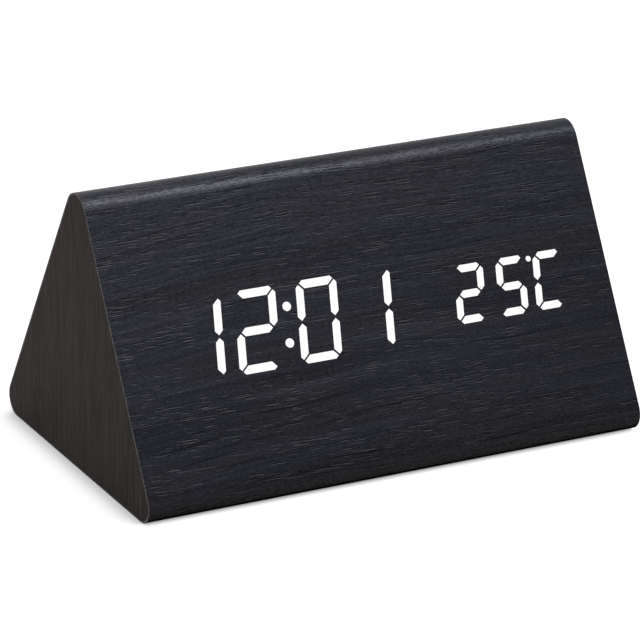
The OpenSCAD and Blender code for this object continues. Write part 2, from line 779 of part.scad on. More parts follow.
module battery_box() color("#1b1b1d") difference() {
    union() {
        translate([0, 0, rim_recess]) linear_extrude(flange_top - rim_recess) rim_outline(0);
        translate([-flange_x, -flange_y, shell_t]) cube([2 * flange_x, 2 * flange_y, flange_t]);
        translate([-door_x, -door_y, shell_t]) cube([2 * door_x, 2 * door_y, box_top - shell_t]);
    }
    translate([-bay_x / 2, -bay_y / 2, -past]) cube([bay_x, bay_y, roof_z + past]);
    translate([-door_x - door_gap, -door_y - door_gap, -past])
        cube([2 * (door_x + door_gap), 2 * (door_y + door_gap), seat_z + past]);
    for (s = [-1, 1])
        translate([s * tab_x - tab_w / 2 - slip, hinge_y - door_t / 2, tab_z - slip])
            cube([tab_w + 2 * slip, door_t / 2 + tab_swing + door_gap,
                  hinge_z - tab_z + tab_swing + 2 * slip]);
    translate([-latch_w / 2, -door_y - door_gap, rim_recess]) rotate([0, 90, 0])
        cylinder(r = rim_w / 2, h = latch_w);
    box_screw_places() translate([0, 0, shell_t - past])
        cylinder(d = screw_d + 2 * screw_gap, h = flange_t + 2 * past);
    tag_slots();
}

module battery_door() color("#1d1d1f") difference() {
    union() {
        along_x(-door_x, door_x) {
            translate([-door_y, door_recess]) square([door_y + hinge_y, door_t]);
            translate([hinge_y, hinge_z]) circle(d = door_t);
        }
        for (s = [-1, 1])
            translate([s * tab_x - tab_w / 2, hinge_y, tab_z]) cube([tab_w, tab_reach, tab_t]);
        translate([latch_margin - latch_w / 2, -door_y - door_gap + 2 * seat_gap, hinge_z])
            cube([latch_w - 2 * latch_margin, door_gap, door_t / 2]);
    }
    for (s = [-1, 1])
        translate([s * latch_w / 2 - latch_slit / 2, -door_y - past, -past])
            cube([latch_slit, latch_l + past, door_t + 3 * past]);
    for (i = [0:rib_count - 1])
        translate([latch_margin - latch_w / 2, -door_y + rib_start + rib_pitch * i, door_recess - past])
            cube([latch_w - 2 * latch_margin, rib_w, past + rib_depth]);
}

module battery_cells() for (i = [0:2]) translate([0, cell_y(i), cell_z]) {
    t = cell_turn(i);
    cap_end = bay_x / 2 - contact_t;
    color("#4a7d46") rotate([0, t * 90, 0]) translate([0, 0, cap_end - cell_l]) {
        cylinder(d = cell_d - 2 * cell_crimp, h = cell_base_t);
        translate([0, 0, cell_base_t]) cylinder(d = cell_d, h = cell_l - cell_base_t - cell_cap_h);
        translate([0, 0, cell_l - cell_cap_h]) cylinder(d = cell_cap_d, h = cell_cap_h);
    }
}

// A contact plate against the end wall of a cell's bay, with a tag through the wall where a lead
// is soldered on. s is the end of the bay that it stands at.
module contact_plate(i, s, tagged) {
    translate([s * (bay_x / 2 - contact_t / 2), cell_y(i), cell_z])
        cube([contact_t, contact_w, contact_h], center = true);
    if (tagged)
        translate([s * (bay_x / 2 + (box_wall + tag_out - contact_t) / 2), cell_y(i), cell_z])
            cube([box_wall + tag_out + contact_t, tag_w, contact_t], center = true);
}

module plate_contacts() color("#d9d9d4") for (i = [0:2])
    contact_plate(i, cell_turn(i), i == 0);

// A tube of the given radius along a line of points. ref is a direction that the line never takes.
module tube(line, r, sides, ref) {
    n = len(line);
    function ring(i) = let (
        t = unit(line[min(i + 1, n - 1)] - line[max(i - 1, 0)]),
        u = unit(cross(t, ref)), v = cross(t, u))
        [for (k = [0:sides - 1]) line[i] + r * (u * cos(360 * k / sides) + v * sin(360 * k / sides))];
    polyhedron(
        points = [for (i = [0:n - 1]) each ring(i)],
        faces = concat(
            [[for (k = [0:sides - 1]) k]],
            [for (i = [0:n - 2], k = [0:sides - 1], h = [0, 1])
                let (a = i * sides + k, b = i * sides + (k + 1) % sides)
                h == 0 ? [a, a + sides, b] : [b, a + sides, b + sides]],
            [[for (k = [sides - 1:-1:0]) (n - 1) * sides + k]]));
}

// A cone-shaped spring along X, from a plate at the origin to the cell.
spring_steps = spring_turn_steps * spring_turns;
spring_run = spring_l - 2 * wire_r - 2 * seat_gap;
spring_line = [for (i = [0:spring_steps])
    let (f = i / spring_steps, r = spring_r0 + (spring_r1 - spring_r0) * f, a = 360 * spring_turns * f)
    [wire_r + seat_gap + spring_run * f, r * cos(a), r * sin(a)]];
spring_self_gap = min([for (i = [0:spring_steps], j = [0:spring_steps]) if (j > i + spring_turn_steps / 2)
    norm(spring_line[i] - spring_line[j])]) - 2 * wire_r;
echo(spring_self_gap = spring_self_gap);

module spring_contacts() color("#d9d9d4") for (i = [0:2]) {
    s = -cell_turn(i);
    contact_plate(i, s, i == 2);
    translate([s * (bay_x / 2 - contact_t), cell_y(i), cell_z]) rotate([0, 0, s > 0 ? 180 : 0])
        tube(spring_line, wire_r, wire_sides, [1, 0, 0]);
}

// Smooth line through points, with a few steps on each span.
function spline(p, n) = let (m = len(p) - 1)
    concat([for (i = [0:m - 1], k = [0:n - 1])
        let (a = p[max(i - 1, 0)], b = p[i], c = p[i + 1], d = p[min(i + 2, m)], t = k / n)
        0.5 * (2 * b + (c - a) * t + (2 * a - 5 * b + 4 * c - d) * t * t
               + (3 * b - a - 3 * c + d) * pow(t, 3))],
        [p[m]]);

// Where a lead enters its socket on the main board, and a point on the way in.
function lead_entry(offset, out) = let (p = rear_point(face_mid, main_back + lead_half_pitch + out))
    [lead_socket_x + offset, p[0], p[1]];

lead_start_x = door_x + tag_out + lead_r;
red_line = spline([
    [door_x + tag_out / 2, cell_y(0), cell_z + contact_t / 2 + lead_r],
    [lead_start_x + lead_near, cell_y(0), cell_z + contact_t / 2 + lead_r + lead_lift],
    [lead_start_x + lead_far, cell_y(0) + lead_straight, box_top],
    [lead_socket_x + 2 * lead_near, cell_y(1), box_top + 2 * lead_near],
    lead_entry(lead_half_pitch, lead_straight),
    lead_entry(lead_half_pitch, lead_bend),
    lead_entry(lead_half_pitch, 0)], lead_steps);
black_line = spline([
    [-door_x - tag_out / 2, cell_y(2), cell_z + contact_t / 2 + lead_r],
    [-lead_start_x - lead_near, cell_y(2) + lead_near, cell_z + contact_t / 2 + lead_r],
    [-lead_start_x, door_y + lead_bend, flange_top + 2 * lead_r],
    [-door_x / 2, door_y + lead_near, flange_top + lead_r + slip],
    [door_x / 2, door_y + lead_near, flange_top + lead_r + slip],
    [lead_start_x + lead_half_pitch, door_y + lead_half_pitch, flange_top + 3 * lead_r],
    [lead_start_x + lead_straight, door_y / 2, box_top],
    lead_entry(-lead_half_pitch, lead_straight),
    lead_entry(-lead_half_pitch, lead_bend),
    lead_entry(-lead_half_pitch, 0)], lead_steps);

module red_lead() color("#b3261e") tube(red_line, lead_r, lead_sides, red_aside);
module black_lead() color("#1a1a1a") tube(black_line, lead_r, lead_sides, black_aside);

module box_screws() color("#c8c8c8") box_screw_places() translate([0, 0, flange_top])
    screw(screw_d, flange_t + screw_bite - slip);

veneer_wrap();
base_veneer();
left_end_veneer();
right_end_veneer();
front_board();
rear_board();
base_board();
left_end_board();
right_end_board();
time_figures();
colon_dots();
temperature_figures();
degree_dot();
display_housing();
segment_diffusers();
led_chips();
display_board();
display_driver();
display_spacers();
display_screws();
display_socket();
display_ribbon();
control_panel();
set_button();
up_button();
down_button();
set_plunger();
up_plunger();
down_plunger();
switch_bodies();
main_board();
clock_chip();
crystal_can();
capacitors();
buzzer();
microphone();
thermistor();
ribbon_socket();
lead_socket();
power_jack();
power_jack_pin();
panel_screws();
board_screws();
battery_box();
battery_door();
battery_cells();
plate_contacts();
spring_contacts();
red_lead();
black_lead();
box_screws();
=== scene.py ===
"""Looks of a triangular wooden alarm clock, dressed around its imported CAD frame.

The CAD nodes keep their shapes and places. This script gives each of them a material made of shader
nodes, and sets up the floor, the lamps and the camera.
Object coordinates are metres in the frame's own axes: X to the right, Y to the back, Z up.
"""

import math

import bpy
from mathutils import Matrix, Vector


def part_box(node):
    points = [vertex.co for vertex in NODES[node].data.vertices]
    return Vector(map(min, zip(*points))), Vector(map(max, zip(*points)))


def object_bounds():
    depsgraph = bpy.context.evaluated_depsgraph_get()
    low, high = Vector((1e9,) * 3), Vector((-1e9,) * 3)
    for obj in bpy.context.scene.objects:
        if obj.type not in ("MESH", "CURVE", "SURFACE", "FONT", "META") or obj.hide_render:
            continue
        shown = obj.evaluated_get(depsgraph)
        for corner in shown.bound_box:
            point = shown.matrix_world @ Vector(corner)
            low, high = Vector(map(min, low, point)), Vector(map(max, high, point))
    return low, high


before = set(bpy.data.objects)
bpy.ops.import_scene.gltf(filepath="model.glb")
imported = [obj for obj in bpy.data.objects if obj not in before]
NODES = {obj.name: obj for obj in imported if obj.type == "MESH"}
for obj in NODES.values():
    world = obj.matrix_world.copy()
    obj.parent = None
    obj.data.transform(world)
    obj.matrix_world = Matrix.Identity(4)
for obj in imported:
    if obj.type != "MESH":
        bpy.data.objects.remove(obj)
cad_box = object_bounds()

MM = 0.001

# The case, in millimetres and radians.
FACE_ANGLE = math.radians(60)    # slope of the front and rear, and the turn from the ridge's top to each
RIDGE_ROUND = 5.0                # radius of the ridge
LOWER_ROUND = 4.0                # radius of the lower edges
LEFT_END = -60.0
MARK_HEIGHT = 0.2                # how far the marks stand out of the button caps

# Stretches of a noise's values, between which a pattern eases from its least to its most.
MIDDLE = (0.3, 0.7)
WIDE = (0.25, 0.75)
WHOLE = (0.2, 0.8)

# The charcoal veneer.
SHADE_LINE_UP = -11.9                # where a painted line of shade lies above each lower round, in millimetres up a face
PORE_DEPTH = 0.08                # millimetres
SATIN = 0.12                     # how much the flat faces shine
SATIN_TINT = (0.84, 0.83, 1.0)

# The studio.
AIM = Vector((0, 0, 0.030))      # point that the lamps face and the camera is placed from, in metres
AMBIENT = 0.34                   # light on the object from all around
FLOOR_REACH = 6.0                # metres from the middle to each side of the floor
FLOOR_LIFT = 0.85                # glow that brings the open floor to white
COVER = 0.5                      # millimetres that the flat base reaches past the opening below it
CONTACT_REACH = 10.0             # millimetres over which a painted contact shadow darkens the floor beside the clock
CONTACT_OPEN = (0.08, 0.64)      # shares of open sky between which the floor brightens
LIGHT_FROM = (0.62, -0.36, 0.70)    # direction that the contact shadow is cast from


class Shader:
    """One material's node tree, with short calls for the nodes that the materials are made of.

    Places are points in millimetres, and a size is the width of a pattern's grains along X, Y and Z.
    """

    def __init__(self, name):
        self.material = bpy.data.materials.new(name)
        self.material.use_nodes = True
        self.tree = self.material.node_tree
        self.tree.nodes.clear()
        metres = self.node("ShaderNodeTexCoord").outputs["Object"]
        self.place = self.vector("MULTIPLY", metres, (1 / MM,) * 3)
        self.normal = self.node("ShaderNodeNewGeometry").outputs["Normal"]

    def node(self, kind, **settings):
        made = self.tree.nodes.new(kind)
        for key, value in settings.items():
            setattr(made, key, value)
        return made

    def put(self, socket, value):
        """Links a socket to another one's output, or sets it to a constant."""
        if isinstance(value, bpy.types.NodeSocket):
            self.tree.links.new(value, socket)
        elif hasattr(socket.default_value, "__len__") and len(socket.default_value) == 4:
            socket.default_value = (*value[:3], 1)
        else:
            socket.default_value = value

    def fill(self, made, values):
        """Puts values into a node's first inputs."""
        for socket, value in zip(made.inputs, values):
            self.put(socket, value)
        return made.outputs

    def math(self, operation, *values, clamp=False):
        made = self.node("ShaderNodeMath", operation=operation, use_clamp=clamp)
        return self.fill(made, values)[0]

    def vector(self, operation, *values):
        made = self.node("ShaderNodeVectorMath", operation=operation)
        return self.fill(made, values)["Value" if operation == "DOT_PRODUCT" else "Vector"]

    def axes(self, point):
        return self.fill(self.node("ShaderNodeSeparateXYZ"), [point])[:3]

    def join(self, *values):
        return self.fill(self.node("ShaderNodeCombineXYZ"), values)[0]

    def noise(self, size, place=None, detail=2.0, roughness=0.5, seed=0):
        """Soft noise between 0 and 1, with grains of the given size. Each seed shows another part of it."""
        made = self.node("ShaderNodeTexNoise")
        scale = tuple(1 / width for width in size)
        spot = self.vector("MULTIPLY_ADD", place or self.place, scale, (seed, 2.7 * seed, 0.6 * seed))
        self.put(made.inputs["Vector"], spot)
        made.inputs["Scale"].default_value = 1
        made.inputs["Detail"].default_value = detail
        made.inputs["Roughness"].default_value = roughness
        return made.outputs[0]

    def cells(self, width):
        """Distance from the middle of the nearest of many scattered cells, in cell widths."""
        made = self.node("ShaderNodeTexVoronoi", feature="F1")
        self.put(made.inputs["Vector"], self.vector("MULTIPLY", self.place, (1 / width,) * 3))
        made.inputs["Scale"].default_value = 1
        return made.outputs["Distance"]

    def span(self, value, low, high, to_low=0.0, to_high=1.0):
        """Eases from one value to another while the input goes from low to high."""
        made = self.node("ShaderNodeMapRange", interpolation_type="SMOOTHSTEP")
        return self.fill(made, (value, low, high, to_low, to_high))[0]

    def mix(self, share, first, second):
        """Colour between two others."""
        made = self.node("ShaderNodeMix", data_type="RGBA")
        self.put(made.inputs[0], share)
        self.put(made.inputs[6], first)
        self.put(made.inputs[7], second)
        return made.outputs[2]

    def dim(self, colour, factor):
        """Colour times a number."""
        return self.vector("MULTIPLY", colour, self.join(factor, factor, factor))

    def soft_normal(self, radius):
        """Normal that is rounded over edges, within a radius in millimetres."""
        made = self.node("ShaderNodeBevel", samples=6)
        made.inputs["Radius"].default_value = radius * MM
        return made.outputs["Normal"]

    def edges(self, rounded):
        """Share of edge at a point: 0 on a flat stretch, 1 on an outer or inner edge."""
        flat, edge = 0.985, 0.86
        return self.span(self.vector("DOT_PRODUCT", rounded, self.normal), flat, edge)

    def bump(self, height, depth, normal=None):
        """Normal of a relief whose height goes from 0 to 1 over a depth in millimetres."""
        made = self.node("ShaderNodeBump")
        self.put(made.inputs["Height"], height)
        made.inputs["Distance"].default_value = depth * MM
        if normal is not None:
            self.put(made.inputs["Normal"], normal)
        return made.outputs["Normal"]

    def finish(self, colour, roughness, normal=None, **settings):
        """Ends the tree in one surface shader, and gives back the material."""
        shader = self.node("ShaderNodeBsdfPrincipled")
        self.put(shader.inputs["Base Color"], colour)
        self.put(shader.inputs["Roughness"], roughness)
        if normal is not None:
            self.put(shader.inputs["Normal"], normal)
        for key, value in settings.items():
            self.put(shader.inputs[key.replace("_", " ")], value)
        output = self.node("ShaderNodeOutputMaterial")
        self.tree.links.new(shader.outputs[0], output.inputs["Surface"])
        return self.material


def stained_ash(sh, x, rise, depth):
    """Stained ash with its grain along X: long wavy streaks, fine fibres and short open pores.

    A point lies x along the sheet, rise up it and depth through it, where the grain hardly changes.
    Gives back the colour, the relief, the roughness and how well each place takes a polish.
    """
    through = 40
    cool_dark, cool_pale, warm = (0.0082, 0.0090, 0.0120), (0.0142, 0.0155, 0.0204), (0.0128, 0.0108, 0.0140)
    pale_line, dark_line = (0.026, 0.028, 0.036), (0.0030, 0.0030, 0.0040)
    open_pore, lip_highlight_colour = (0.0020, 0.0020, 0.0026), (0.106, 0.106, 0.121)

    # From the left, the grain climbs, levels off and falls a little, and sways on its way.
    slope, bend, sway_height = -0.014, 0.0004, 6.0
    climb = sh.math("MULTIPLY", x, sh.math("MULTIPLY_ADD", x, bend, slope))
    sway = sh.noise((45, 25, through), sh.join(x, rise, depth), detail=1.0, seed=4)
    sway = sh.math("MULTIPLY", sway, sway_height)
    grain = sh.join(x, sh.math("ADD", rise, sh.math("ADD", climb, sway)), depth)

    bands = sh.noise((120, 5.5, through), grain, detail=2.0, seed=1)
    streaks = sh.noise((60, 1.0, through), grain, detail=4.0, roughness=0.7, seed=2)
    fibres = sh.noise((13, 0.28, through), grain, detail=3.0, roughness=0.65, seed=3)
    specks = sh.noise((0.8, 0.24, through), grain, detail=1.0, seed=11)
    patches = sh.noise((34, 6, through), grain, detail=2.0, seed=8)
    pale_lines = sh.span(sh.noise((55, 0.9, through), grain, detail=2.0, seed=7), 0.55, 0.74)
    dark_lines = sh.span(sh.noise((42, 0.42, through), grain, detail=2.0, seed=9), 0.60, 0.74)

    # Pores come in crowds and lie a little across the grain. Each has a painted highlight on the lip below
    # its dark slit.
    pore_size, pore_slope, lip_step, pore_limits = (5.0, 0.18, through), 0.02, 0.17, (0.785, 0.825)
    pore_line = sh.math("MULTIPLY_ADD", x, pore_slope, rise)
    lip_line = sh.math("ADD", pore_line, lip_step)
    slits = sh.noise(pore_size, sh.join(x, pore_line, depth), detail=0.0, seed=6)
    lips = sh.noise(pore_size, sh.join(x, lip_line, depth), detail=0.0, seed=6)
    crowd = sh.span(sh.noise((26, 3.5, through), grain, detail=3.0, seed=5), 0.34, 0.66, 0.0, 0.12)
    slits = sh.span(sh.math("ADD", slits, crowd), *pore_limits)
    lips = sh.span(sh.math("ADD", lips, crowd), *pore_limits)
    lip_highlight = sh.math("SUBTRACT", lips, slits, clamp=True)

    tone = sh.mix(sh.span(bands, 0.32, 0.68), cool_dark, cool_pale)
    tone = sh.mix(sh.span(patches, 0.47, 0.66, 0.0, 0.75), tone, warm)
    tone = sh.dim(tone, sh.span(streaks, *WIDE, 0.62, 1.42))
    tone = sh.dim(tone, sh.span(fibres, *WIDE, 0.72, 1.26))
    tone = sh.dim(tone, sh.span(specks, *WIDE, 0.84, 1.16))
    tone = sh.mix(sh.math("MULTIPLY", pale_lines, 0.55), tone, pale_line)
    fainter_right = sh.span(x, LEFT_END, 50.0, 0.55, 0.25)
    tone = sh.mix(sh.math("MULTIPLY", dark_lines, fainter_right), tone, dark_line)
    tone = sh.mix(sh.math("MULTIPLY", slits, 0.8), tone, open_pore)
    # Painted highlight on the lips, strongest at the left end and low down.
    print_wear_and_lip_highlight = sh.math("MULTIPLY", sh.span(x, LEFT_END, 40.0, 0.95, 0.7), sh.span(rise, 10.0, 45.0, 1.0, 0.62))
    tone = sh.mix(sh.math("MULTIPLY", lip_highlight, print_wear_and_lip_highlight), tone, lip_highlight_colour)

    relief = sh.math("MULTIPLY_ADD", slits, -1.0, sh.math("MULTIPLY", fibres, 0.55))
    roughness = sh.math("MULTIPLY_ADD", streaks, 0.14, sh.math("MULTIPLY_ADD", slits, 0.25, 0.30))
    closed = sh.span(sh.math("MAXIMUM", slits, dark_lines), 0.0, 1.0, 1.0, 0.2)
    polish = sh.math("MULTIPLY", closed, sh.span(specks, *MIDDLE, 0.6, 1.4))
    return tone, relief, roughness, polish


def up_face(sh, y, z):
    """How far up a sloping face a point lies, in millimetres."""
    return sh.math("SUBTRACT", sh.math("MULTIPLY", z, math.sin(FACE_ANGLE)),
                   sh.math("MULTIPLY", sh.math("ABSOLUTE", y), math.cos(FACE_ANGLE)))


def unroll(sh, y, z, up):
    """Place on the wrap laid flat: up the front as up_face gives it, on over the ridge and down the rear."""
    ridge_centre = cad_box[1].z / MM - RIDGE_ROUND
    face_top = ridge_centre * math.sin(FACE_ANGLE)
    turn = sh.math("ARCTAN2", y, sh.math("SUBTRACT", z, ridge_centre))
    turn = sh.math("MINIMUM", sh.math("MAXIMUM", turn, -FACE_ANGLE), FACE_ANGLE)
    below_ridge = sh.math("MAXIMUM", sh.math("SUBTRACT", face_top, up), 0.0)
    down_face = sh.math("MULTIPLY", sh.math("SIGN", y), below_ridge)
    from_top = sh.math("MULTIPLY_ADD", turn, RIDGE_ROUND, down_face)
    return sh.math("ADD", from_top, face_top + RIDGE_ROUND * FACE_ANGLE)


def wrap_veneer():
    """The charcoal sheet over the front, the ridge and the rear, with its lower rounds and cut ends."""
    brown, bare_edge_and_highlight = (0.0180, 0.0169, 0.0172), (0.088, 0.081, 0.075)
    sh = Shader("wrap_veneer")
    x, y, z = sh.axes(sh.place)
    up = up_face(sh, y, z)
    tone, relief, roughness, polish = stained_ash(sh, x, unroll(sh, y, z, up), y)
    facing_right, _, facing_up = sh.axes(sh.normal)

    # Painted shade: lighter towards the ridge and the left end, darker low down and to the right, and darker
    # in a line above each lower round. The round is brown, partly a painted reflection, with painted shade
    # under it.
    painted_falloff = sh.math("MULTIPLY_ADD", x, -0.0019, sh.math("MULTIPLY_ADD", up, 0.0058, 0.74))
    # Painted reflection: the lower round turns brown where it faces down, partly its own colour.
    tone = sh.mix(sh.span(facing_up, 0.45, 0.1, 0.0, 0.75), tone, brown)
    painted_shade_line = sh.span(sh.math("ABSOLUTE", sh.math("SUBTRACT", up, SHADE_LINE_UP)), 0.0, 1.2, 0.58, 1.0)
    # Painted shade: darker where the round faces the floor.
    under = sh.span(facing_up, -0.75, 0.4, 0.16, 1.0)
    tone = sh.dim(tone, sh.math("MULTIPLY", painted_falloff, sh.math("MULTIPLY", painted_shade_line, under)))

    # The cut edge at each end is pale in broken bits: bare wood where the stain has chipped off, and a
    # painted highlight along the edge.
    cut_edge = sh.span(sh.math("ABSOLUTE", facing_right), 0.6, 0.9)
    chips_and_glints = sh.span(sh.noise((0.9, 0.9, 0.9), detail=2.0, seed=10), 0.38, 0.62, 0.12, 0.9)
    tone = sh.mix(sh.math("MULTIPLY", cut_edge, chips_and_glints), tone, bare_edge_and_highlight)

    # Hands have burnished the ridge at the left end.
    handled = sh.span(x, LEFT_END, 10.0, 0.205, 0.115)
    on_ridge = sh.span(facing_up, 0.52, 0.75)
    on_face = sh.span(facing_up, -0.68, 0.05, 0.0, SATIN)
    sheen = sh.math("MULTIPLY_ADD", on_ridge, sh.math("SUBTRACT", handled, SATIN), on_face)
    return sh.finish(tone, roughness, sh.bump(relief, PORE_DEPTH), Specular_Tint=SATIN_TINT,
                     Specular_IOR_Level=sh.math("MULTIPLY", sheen, polish))


def base_sheet():
    """The charcoal sheet under the base, scuffed by what the clock has stood on."""
    scuffed = (0.040, 0.038, 0.038)
    sh = Shader("base_sheet")
    x, y, z = sh.axes(sh.place)
    tone, relief, roughness, polish = stained_ash(sh, x, y, z)
    scuffs = sh.span(sh.noise((7, 1.2, 40), detail=4.0, roughness=0.7, seed=12), 0.58, 0.74, 0.0, 0.35)
    tone = sh.mix(scuffs, tone, scuffed)
    roughness = sh.math("MULTIPLY_ADD", scuffs, 0.3, roughness)
    return sh.finish(tone, roughness, sh.bump(relief, PORE_DEPTH), Specular_Tint=SATIN_TINT,
                     Specular_IOR_Level=sh.math("MULTIPLY", polish, SATIN))


def end_veneer():
    """Brown-black veneer on the two ends, with fine straight fibres that stand upright."""
    dark, pale, line = (0.0222, 0.0190, 0.0164), (0.0318, 0.0248, 0.0242), (0.078, 0.066, 0.058)
    through, bend_width = 200, 2.0
    sh = Shader("end_veneer")
    x, y, z = sh.axes(sh.place)
    bend = sh.math("MULTIPLY", sh.noise((through, 30, 60), detail=1.0, seed=2), bend_width)
    grain = sh.join(x, sh.math("ADD", y, bend), z)
    bands = sh.noise((through, 7, 70), grain, detail=2.0, seed=3)
    streaks = sh.noise((through, 0.6, 20), grain, detail=4.0, roughness=0.65, seed=5)
    fibres = sh.noise((through, 0.2, 5), grain, detail=2.0, seed=7)
    lines = sh.span(sh.noise((through, 0.3, 7), grain, detail=2.0, seed=9), 0.6, 0.72)
    tone = sh.mix(sh.span(bands, *MIDDLE), dark, pale)
    tone = sh.dim(tone, sh.span(streaks, *WIDE, 0.55, 1.48))
    tone = sh.dim(tone, sh.span(fibres, *WHOLE, 0.64, 1.36))
    tone = sh.mix(sh.math("MULTIPLY", lines, 0.45), tone, line)
    # Darker towards the foot.
    tone = sh.dim(tone, sh.span(z, 0.0, 30.0, 0.86, 1.0))
    relief = sh.math("ADD", fibres, streaks)
    roughness = sh.math("MULTIPLY_ADD", streaks, 0.2, 0.42)
    return sh.finish(tone, roughness, sh.bump(relief, 0.03), Specular_IOR_Level=0.02)


def fibreboard():
    """Pressed brown fibres with cloudy patches."""
    dark, pale = (0.20, 0.120, 0.060), (0.36, 0.235, 0.130)
    sh = Shader("fibreboard")
    flakes = sh.noise((0.9, 0.5, 0.5), detail=4.0, roughness=0.7, seed=1)
    clouds = sh.noise((8, 8, 8), detail=2.0, seed=2)
    tone = sh.mix(sh.span(flakes, *MIDDLE), dark, pale)
    tone = sh.dim(tone, sh.span(clouds, *MIDDLE, 0.85, 1.1))
    roughness = sh.math("MULTIPLY_ADD", flakes, 0.15, 0.75)
    return sh.finish(tone, roughness, sh.bump(flakes, 0.08), Specular_IOR_Level=0.2)


def lit_stroke():
    """A lit stroke: even white light with a faint trace of wood fibres."""
    dark, pale, white = (0.05, 0.05, 0.06), (0.09, 0.09, 0.09), (1.0, 1.0, 1.0)
    sh = Shader("lit_stroke")
    fibres = sh.noise((5, 0.4, 0.4), detail=2.0, seed=1)
    glow = sh.span(fibres, *WHOLE, 0.90, 0.97)
    return sh.finish(sh.mix(fibres, dark, pale), 0.55, Emission_Color=white, Emission_Strength=glow)


def moulded_plastic(name, colour, roughness, pit_width=0.28):
    """Spark-textured moulding: fine pits, a little wear on the edges and cloudy handling marks."""
    worn_colour = tuple(2.2 * part + 0.012 for part in colour)
    edge_radius, pit_depth = 0.25, 0.025
    sh = Shader(name)
    rounded = sh.soft_normal(edge_radius)
    pits = sh.noise((pit_width,) * 3, detail=2.0, roughness=0.6, seed=1)
    clouds = sh.noise((6, 6, 6), detail=3.0, seed=2)
    worn = sh.math("MULTIPLY", sh.edges(rounded), sh.span(clouds, *MIDDLE, 0.35, 1.0))
    tone = sh.dim(colour, sh.span(clouds, *MIDDLE, 0.82, 1.18))
    tone = sh.dim(tone, sh.span(pits, *MIDDLE, 0.76, 1.24))
    tone = sh.mix(worn, tone, worn_colour)
    finish = sh.math("MULTIPLY_ADD", clouds, 0.16, sh.math("MULTIPLY_ADD", worn, -0.12, roughness - 0.08))
    shine = sh.math("MULTIPLY", sh.span(pits, *MIDDLE, 0.22, 0.54), sh.span(clouds, *MIDDLE, 0.8, 1.2))
    return sh.finish(tone, finish, sh.bump(pits, pit_depth, rounded), Specular_IOR_Level=shine)


def button_plastic():
    """Satin button caps, whose raised marks are printed pale grey."""
    black, edge, print_grey = (0.022, 0.022, 0.024), (0.055, 0.055, 0.058), (0.52, 0.53, 0.54)
    edge_radius, pit_width, pit_depth = 0.25, 0.16, 0.008
    sh = Shader("button_plastic")
    rounded = sh.soft_normal(edge_radius)
    outwards = Vector((0.0, math.sin(FACE_ANGLE), math.cos(FACE_ANGLE)))
    top = max(vertex.co.dot(outwards) for vertex in NODES["set_button"].data.vertices) / MM
    height = sh.vector("DOT_PRODUCT", sh.place, tuple(outwards))
    pits = sh.noise((pit_width,) * 3, detail=2.0, seed=1)
    clouds = sh.noise((3, 3, 3), detail=3.0, seed=2)
    printed = sh.span(height, top - 0.7 * MARK_HEIGHT, top - 0.4 * MARK_HEIGHT)
    print_wear_and_lip_highlight = sh.span(clouds, 0.28, 0.5, 0.75, 1.0)
    tone = sh.mix(sh.edges(rounded), black, edge)
    tone = sh.dim(tone, sh.span(clouds, *MIDDLE, 0.85, 1.15))
    tone = sh.mix(sh.math("MULTIPLY", printed, print_wear_and_lip_highlight), tone, print_grey)
    roughness = sh.math("MULTIPLY_ADD", clouds, 0.18, 0.30)
    shine = sh.span(clouds, *MIDDLE, 0.36, 0.54)
    return sh.finish(tone, roughness, sh.bump(pits, pit_depth, rounded), Specular_IOR_Level=shine)


def brushed_metal(name, colour, roughness):
    """Plated metal with fine drawing marks and a few dull spots."""
    edge_radius, mark_depth = 0.12, 0.006
    sh = Shader(name)
    rounded = sh.soft_normal(edge_radius)
    marks = sh.noise((3.0, 0.15, 0.15), detail=3.0, roughness=0.6, seed=1)
    spots = sh.noise((1.6, 1.6, 1.6), detail=3.0, seed=2)
    tone = sh.dim(colour, sh.span(spots, *MIDDLE, 0.82, 1.05))
    tone = sh.dim(tone, sh.span(marks, *MIDDLE, 0.92, 1.05))
    finish = sh.math("MULTIPLY_ADD", spots, 0.2, sh.math("MULTIPLY_ADD", marks, 0.1, roughness - 0.15))
    return sh.finish(tone, finish, sh.bump(marks, mark_depth, rounded), Metallic=1.0)


def circuit_board():
    """Green solder mask over copper tracks, with a faint weave of glass cloth below it."""
    mask, mask_on_copper = (0.010, 0.085, 0.030), (0.022, 0.150, 0.052)
    half_pitch, track_edge, weave_turns = 0.8, (0.42, 0.5), 9.0
    sh = Shader("circuit_board")
    x, y, z = sh.axes(sh.place)
    along = sh.math("ADD", y, z)
    wavy = sh.math("ADD", x, sh.noise((7, 7, 7), seed=1))
    tracks = sh.span(sh.math("PINGPONG", wavy, half_pitch), *track_edge)
    warp, weft = (sh.math("SINE", sh.math("MULTIPLY", way, weave_turns)) for way in (x, along))
    weave = sh.math("MULTIPLY", warp, weft)
    tone = sh.mix(tracks, mask, mask_on_copper)
    tone = sh.dim(tone, sh.span(weave, -1.0, 1.0, 0.92, 1.08))
    roughness = sh.math("MULTIPLY_ADD", tracks, 0.08, 0.3)
    return sh.finish(tone, roughness, sh.bump(tracks, 0.03), Specular_IOR_Level=0.5)


def milky_resin():
    """Cast resin that spreads the light of each chip, with tiny bubbles in it."""
    cream, milk = (0.70, 0.69, 0.63), (0.84, 0.83, 0.79)
    sh = Shader("milky_resin")
    bubbles = sh.span(sh.cells(0.5), 0.12, 0.3)
    clouds = sh.noise((2, 2, 2), detail=2.0, seed=1)
    tone = sh.dim(sh.mix(clouds, cream, milk), sh.span(bubbles, 0.0, 1.0, 0.9, 1.0))
    return sh.finish(tone, sh.math("MULTIPLY_ADD", clouds, 0.2, 0.35), sh.bump(bubbles, 0.02))


def light_chip():
    """Yellow phosphor on a light chip."""
    dark, pale = (0.70, 0.54, 0.13), (0.88, 0.76, 0.30)
    sh = Shader("light_chip")
    grains = sh.noise((0.08, 0.08, 0.08), detail=2.0, seed=1)
    roughness = sh.math("MULTIPLY_ADD", grains, 0.2, 0.4)
    return sh.finish(sh.mix(grains, dark, pale), roughness, sh.bump(grains, 0.01))


